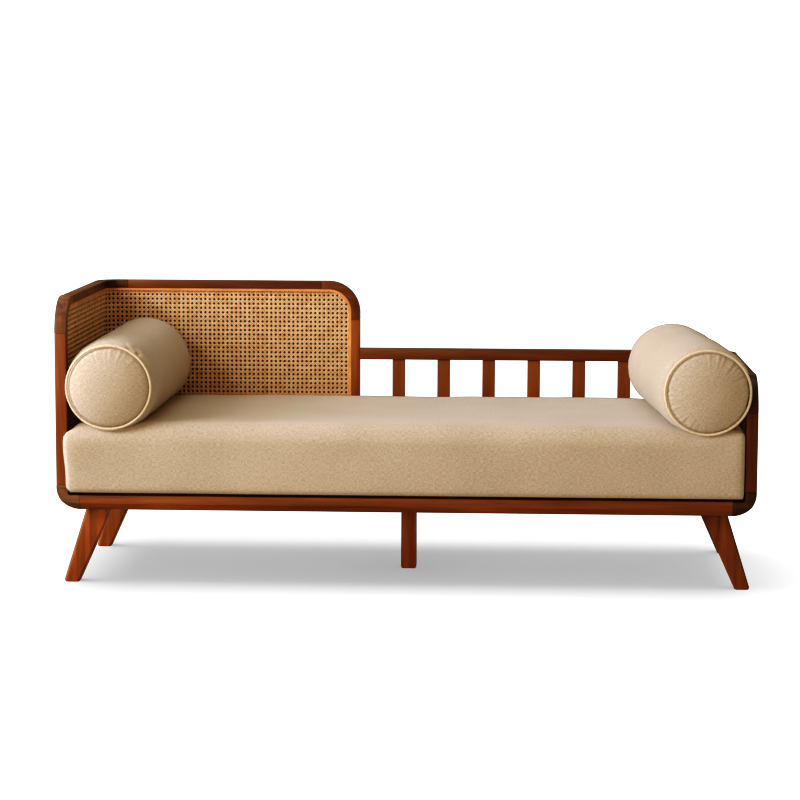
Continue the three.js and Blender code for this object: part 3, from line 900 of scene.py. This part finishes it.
class Bolster:
    """Shape of one bolster, running from its front ring to its back ring.

    wall is where it leans, side is 1 at the left end and -1 at the right, swell is how far the body
    stands out past the rings, and gathers are (degrees, strength) places on the caps.
    """

    def __init__(self, name, front_x, back_x, centre_z, wall, side, seed, swell, gathers):
        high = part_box(name)[1]
        self.name = name
        self.frame_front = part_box("front_rail")[0][1]
        self.front = np.array([front_x, self.frame_front - FRONT_PROUD, centre_z])
        self.back = np.array([back_x, high[1] - BACK_CLEAR, centre_z + BACK_RISE])
        self.wall = wall
        self.side = side
        self.seed = seed
        self.swell = swell
        self.gathers = gathers
        self.rail_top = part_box("right_arm_rail")[1][2] if side < 0 else NO_RAIL
        self.length = float(self.back[1] - self.front[1])

    def middle(self, depth):
        share = depth / self.length
        return [self.front[i] + share * (self.back[i] - self.front[i]) for i in (0, 2)]

    def at(self, depth, angle, radius):
        """A point before it is pressed: depth is from the front ring, and a quarter turn is up."""
        middle_x, middle_z = self.middle(depth)
        x = middle_x + radius * WIDENING * np.cos(angle)
        z = middle_z + radius * np.sin(angle)
        return np.stack(np.broadcast_arrays(x, self.front[1] + depth, z), axis=-1)

    def press(self, points):
        """Flattens the body where it lies on the mattress and where it leans on the arm.

        In front of the frame, and above the low arm rail, it may spread a little further.
        """
        floor = mattress_surface(points[:, 0], points[:, 1]) + LYING_GAP
        points[:, 2] = smooth_max(points[:, 2], floor, 3.5 * MM)
        proud = self.frame_front - points[:, 1]
        ahead = smooth_step(proud, 0.3 * MM, 2 * MM)
        over = smooth_step(points[:, 2], self.rail_top + 2 * MM, self.rail_top + 16 * MM)
        spread = SPREAD_IN_FRONT * ahead + SPREAD_OVER_RAIL * over * (1.0 - ahead)
        limit = self.wall - self.side * spread
        inward = self.side * (points[:, 0] - limit)
        points[:, 0] = limit + self.side * smooth_max(inward, 0.0, 2.0 * MM)
        return points

    def body_radius(self, depth, angle):
        """Between the seams the body swells at once, and its creases die out along it."""
        near = np.minimum(depth, self.length - depth) - SEAM_DEPTH
        share = np.clip(depth / self.length, 0.0, 1.0)
        swell = np.interp(share, SWELL_PLACES, self.swell)
        rise = 1.0 - np.exp(-np.maximum(near, 0.0) / (9 * MM))
        radius = RING_RADIUS - SEAM_INSET + (swell + SEAM_INSET) * rise
        return radius + self.creases(near, depth, angle) + self.folds(depth, angle)

    def creases(self, near, depth, angle):
        """Fine gathers beside each seam, in patches round it."""
        rng = np.random.default_rng(self.seed)
        front = depth < self.length / 2
        total = np.zeros_like(angle)
        for count in (17, 29, 43):
            phase = rng.uniform(0, TURN, 2)
            strength = rng.uniform(0.5, 1.0, 2)
            shape = np.sin(count * angle + np.where(front, phase[0], phase[1]))
            total = total + shape * np.where(front, strength[0], strength[1]) / 3
        patches = 0.35 + 0.65 * np.clip(np.sin(2 * angle + self.seed) + 0.2, 0, 1)
        fade = np.exp(-near / (26 * MM)) * (1 - np.exp(-near / (4 * MM)))
        return total * patches * 1.6 * MM * fade

    def folds(self, depth, angle):
        """Pinches at the seam with soft folds that fan out from them, and a ridge that runs past them."""
        total = np.zeros_like(angle)
        for pinch_depth, pinch_angle, strength in PINCHES[self.name]:
            turn = np.angle(np.exp(1j * (angle - math.radians(pinch_angle))))
            along = depth - pinch_depth
            around = turn * RING_RADIUS
            distance = np.hypot(along, around)
            heading = np.arctan2(around, np.maximum(along, 0.0) + 6 * MM)
            pinch = 9 * MM * bell(distance, 5.5 * MM)
            reach = np.exp(-distance / (30 * MM)) * (1 - bell(distance, 11 * MM))
            fan = 1.7 * MM * np.cos(5.0 * heading) * reach
            ridge = 0.9 * MM * bell(along - 22 * MM, 8 * MM) * bell(turn, 0.6)
            total = total + strength * (fan + ridge - pinch)
        return total


def radial(angle):
    """The way out from a bolster's axis at each angle."""
    return np.stack([np.cos(angle), np.zeros_like(angle), np.sin(angle)], axis=-1)


def bolster_rings(shape):
    """All rings of points, from the middle of the front cap to the middle of the back cap."""
    angle = np.linspace(0.0, TURN, AROUND, endpoint=False)
    rings = [cap_ring(shape, angle, step / CAP_RINGS, 0) for step in range(1, CAP_RINGS + 1)]
    body = np.linspace(0.0, 1.0, ALONG + 1)
    eased = 0.7 * (1 - np.cos(math.pi * body)) / 2 + 0.3 * body
    for share in eased[1:-1]:
        depth = SEAM_DEPTH + share * (shape.length - 2 * SEAM_DEPTH)
        points = shape.at(depth, angle, shape.body_radius(np.full(AROUND, depth), angle))
        points += (ripple(points, shape.seed + 5, 0.16) * 1.1 * MM)[:, None] * radial(angle)
        rings.append(shape.press(points))
    rings += [cap_ring(shape, angle, step / CAP_RINGS, 1) for step in range(CAP_RINGS, 0, -1)]
    return rings


def cap_ring(shape, angle, share, end):
    """One ring of an end cap: domed, sunk behind the piping, with gathers that fade towards the middle."""
    radius = share * (RING_RADIUS - SEAM_INSET)
    inside = (1.0 - share) * RING_RADIUS
    dome = CAP_DOMES[end] * (1.0 - share**2.4)
    sunk = SEAM_DEPTH * np.exp(-((inside / (5 * MM)) ** 1.7))
    rng = np.random.default_rng(shape.seed + 40 + end)
    pleats = np.zeros_like(angle)
    for count in (19, 31, 47):
        pleats += np.sin(count * angle + rng.uniform(0, TURN)) / 3
    place = 0.1
    for degrees, strength in shape.gathers:
        beside = np.cos(angle - math.radians(degrees))
        place = place + strength * np.clip(beside * 2.0 - 0.95, 0.0, 1.0)
    fade = np.exp(-inside / (16 * MM)) * (1.0 - np.exp(-inside / (3 * MM)))
    out = dome - sunk + pleats * place * 4.6 * MM * fade
    depth = -out if end == 0 else shape.length + out
    return shape.press(shape.at(depth, angle, np.full_like(angle, radius)))


def closed_tube(rings, first_centre, last_centre):
    """Joins rings of points into one closed surface with a point at each end."""
    points = [first_centre] + [p for ring in rings for p in ring] + [last_centre]
    count = len(rings[0])
    faces = [[0, 1 + (i + 1) % count, 1 + i] for i in range(count)]
    for ring in range(len(rings) - 1):
        base = 1 + ring * count
        for i in range(count):
            after = (i + 1) % count
            faces.append([base + i, base + after, base + count + after, base + count + i])
    base = 1 + (len(rings) - 1) * count
    last = len(points) - 1
    faces += [[last, base + i, base + (i + 1) % count] for i in range(count)]
    return points, faces


def bolster_threads(shape):
    """Threads run round and along the body, and straight across the caps."""

    def formula(points, normals):
        depth = points[:, 1] - shape.front[1]
        middle_x, middle_z = shape.middle(depth)
        x, z = points[:, 0] - middle_x, points[:, 2] - middle_z
        cap = (depth < SEAM_DEPTH) | (depth > shape.length - SEAM_DEPTH)
        arc = np.arctan2(z, x) * RING_RADIUS
        return np.stack([np.where(cap, x, arc), np.where(cap, z, depth), np.zeros_like(x)], axis=1)

    return formula


def piping(shape, end, material):
    """The covered cord sewn round one end, on the pressed outline of the body."""
    angle = np.linspace(0.0, TURN, AROUND, endpoint=False)
    depth = shape.length * end
    centre = shape.press(shape.at(depth, angle, np.full(AROUND, RING_RADIUS)))
    rings = []
    for step in range(PIPING_SIDES):
        turn = TURN * step / PIPING_SIDES
        twist = 1.0 + 0.05 * np.sin(angle * PIPING_WRINKLES + step)
        offset = radial(angle) * (math.cos(turn) * PIPING_RADIUS * twist)[:, None]
        offset[:, 1] += math.sin(turn) * PIPING_RADIUS
        rings.append(centre + offset)
    points = np.stack(rings, axis=1).reshape(-1, 3)
    faces = []
    for i in range(AROUND):
        here = i * PIPING_SIDES
        after = (i + 1) % AROUND * PIPING_SIDES
        for step in range(PIPING_SIDES):
            following = (step + 1) % PIPING_SIDES
            faces.append([here + step, here + following, after + following, after + step])
    side = "back" if end else "front"
    piece = new_piece(f"{shape.name}_{side}_piping", points, faces, material, shape.name)

    def formula(corners, normals):
        off = corners - shape.front[None, :]
        arc = np.arctan2(off[:, 2], off[:, 0]) * RING_RADIUS
        return np.stack([arc, corners[:, 1] * 3.0, np.zeros(len(corners))], axis=1)

    set_threads(piece, formula)


def make_bolster(shape, material, piping_material):
    rings = bolster_rings(shape)
    first = shape.at(-CAP_DOMES[0], 0.0, 0.0)
    last = shape.at(shape.length + CAP_DOMES[1], 0.0, 0.0)
    points, faces = closed_tube(rings, first, last)
    piece = new_piece(f"{shape.name}_cover", points, faces, material, shape.name)
    set_threads(piece, bolster_threads(shape))
    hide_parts(shape.name)
    for end in (0, 1):
        piping(shape, end, piping_material)


def make_soft_goods():
    cloth = linen("linen", srgb(193, 178, 162), srgb(180, 164, 146), srgb(163, 146, 128))
    # The piping's cloth is the cover's linen drawn paler, as a painted highlight on the thin cord.
    piping_cloth_highlit = linen("linen_piping", srgb(228, 210, 184), srgb(216, 196, 168), srgb(196, 172, 142))
    make_mattress(cloth)
    left = Bolster(
        "left_bolster",
        front_x=-0.7740,
        back_x=-0.7655,
        centre_z=0.5275,
        wall=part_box("front_left_post")[1][0] + LYING_GAP,
        side=1.0,
        seed=3,
        swell=(11 * MM, 12.5 * MM, 14.5 * MM, 15.5 * MM),
        gathers=((88, 0.45),),
    )
    right = Bolster(
        "right_bolster",
        front_x=0.7840,
        back_x=0.7275,
        centre_z=0.5265,
        wall=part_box("front_right_post")[0][0] - LYING_GAP,
        side=-1.0,
        seed=8,
        swell=(9 * MM, 12.5 * MM, 12.0 * MM, 9.0 * MM),
        gathers=((42, 0.9), (215, 0.5)),
    )
    make_bolster(left, cloth, piping_cloth_highlit)
    make_bolster(right, cloth, piping_cloth_highlit)


make_soft_goods()


# ---- Floor and light ----


FLOOR_REACH = 60.0


def make_floor():
    """A floor that shows only the shadow on it, against the white background."""
    mesh = bpy.data.meshes.new("floor")
    signs = ((-1, -1), (1, -1), (1, 1), (-1, 1))
    corners = [(x * FLOOR_REACH, y * FLOOR_REACH, 0.0) for x, y in signs]
    mesh.from_pydata(corners, [], [(0, 1, 2, 3)])
    mesh.materials.append(pale_floor())
    floor = add_object("floor", mesh)
    floor.is_shadow_catcher = True
    return floor


def add_lamp(name, kind, place, target, energy, colour):
    data = bpy.data.lights.new(name, kind)
    data.energy = energy
    data.color = colour
    lamp = add_object(name, data)
    lamp.location = place
    lamp.rotation_euler = (Vector(target) - Vector(place)).to_track_quat("-Z", "Y").to_euler()
    return lamp


def sun(name, place, strength, degrees, colour):
    lamp = add_lamp(name, "SUN", place, (0.0, 0.0, 0.0), strength, colour)
    lamp.data.angle = math.radians(degrees)
    return lamp


def area(name, place, target, size, power, colour, receivers):
    lamp = add_lamp(name, "AREA", place, target, power, colour)
    lamp.data.shape = "RECTANGLE"
    lamp.data.size, lamp.data.size_y = size
    lamp.light_linking.receiver_collection = receivers


def make_world():
    """A warm ambient light on the piece, and plain white behind it in the picture."""
    world = bpy.data.worlds.new("studio")
    bpy.context.scene.world = world
    world.use_nodes = True
    nodes, links = world.node_tree.nodes, world.node_tree.links
    shown = nodes.new("ShaderNodeBackground")
    shown.inputs["Color"].default_value = (1.0, 1.0, 1.0, 1.0)
    shown.inputs["Strength"].default_value = 1.3
    ambient = nodes["Background"]
    ambient.inputs["Color"].default_value = (1.0, 0.72, 0.46, 1.0)
    ambient.inputs["Strength"].default_value = 0.36
    path = nodes.new("ShaderNodeLightPath")
    chosen = nodes.new("ShaderNodeMixShader")
    links.new(path.outputs["Is Camera Ray"], chosen.inputs["Fac"])
    links.new(ambient.outputs[0], chosen.inputs[1])
    links.new(shown.outputs[0], chosen.inputs[2])
    links.new(chosen.outputs[0], nodes["World Output"].inputs["Surface"])


def linked_to(name, floor, state):
    """A light-linking collection that either leaves the floor out or holds nothing else."""
    group = bpy.data.collections.new(name)
    group.objects.link(floor)
    group.collection_objects[0].light_linking.link_state = state
    return group


# Name, place, target, width and height, power in watts, and colour of each lamp.
AREA_LAMPS = (
    ("key", (-3.8, -2.6, 3.0), (-0.4, 0.0, 0.45), (2.4, 2.0), 175.0, (0.98, 0.99, 1.0)),
    ("side", (-4.4, -1.0, 2.0), (-0.2, -0.2, 0.5), (1.6, 1.6), 238.0, (0.86, 0.94, 1.04)),
    ("front_fill", (-1.8, -4.9, 1.2), (-0.4, 0.0, 0.2), (3.4, 1.4), 68.0, (1.0, 0.74, 0.46)),
)


def light_studio():
    """Area lamps from the left and the front, a broad overhead, and a lift for the floor alone."""
    floor = make_floor()
    piece_only = linked_to("floor_kept_out", floor, "EXCLUDE")
    floor_only = linked_to("floor_alone", floor, "INCLUDE")
    for lamp in AREA_LAMPS:
        area(*lamp, piece_only)
    sun("overhead", (-0.5, 0.4, 4.0), 1.06, 60.0, (0.9, 0.97, 1.04))
    lift = sun("floor_lift", (0.0, 0.0, 4.0), 0.5, 10.0, (1.0, 1.0, 1.0))
    lift.data.use_shadow = False
    lift.light_linking.receiver_collection = floor_only


make_world()
light_studio()


def grade_picture():
    """Standard colour, with the darks pulled down a little and the shadows a touch warmer."""
    view = bpy.context.scene.view_settings
    view.view_transform = "Standard"
    view.use_curve_mapping = True
    _, green, blue, all_colours = view.curve_mapping.curves
    for value, shown in ((0.03, 0.013), (0.18, 0.145), (0.5, 0.5)):
        all_colours.points.new(value, shown)
    for value, shown in ((0.1, 0.093), (0.35, 0.35)):
        green.points.new(value, shown)
    for value, shown in ((0.05, 0.039), (0.18, 0.155), (0.42, 0.42)):
        blue.points.new(value, shown)
    view.curve_mapping.update()


grade_picture()
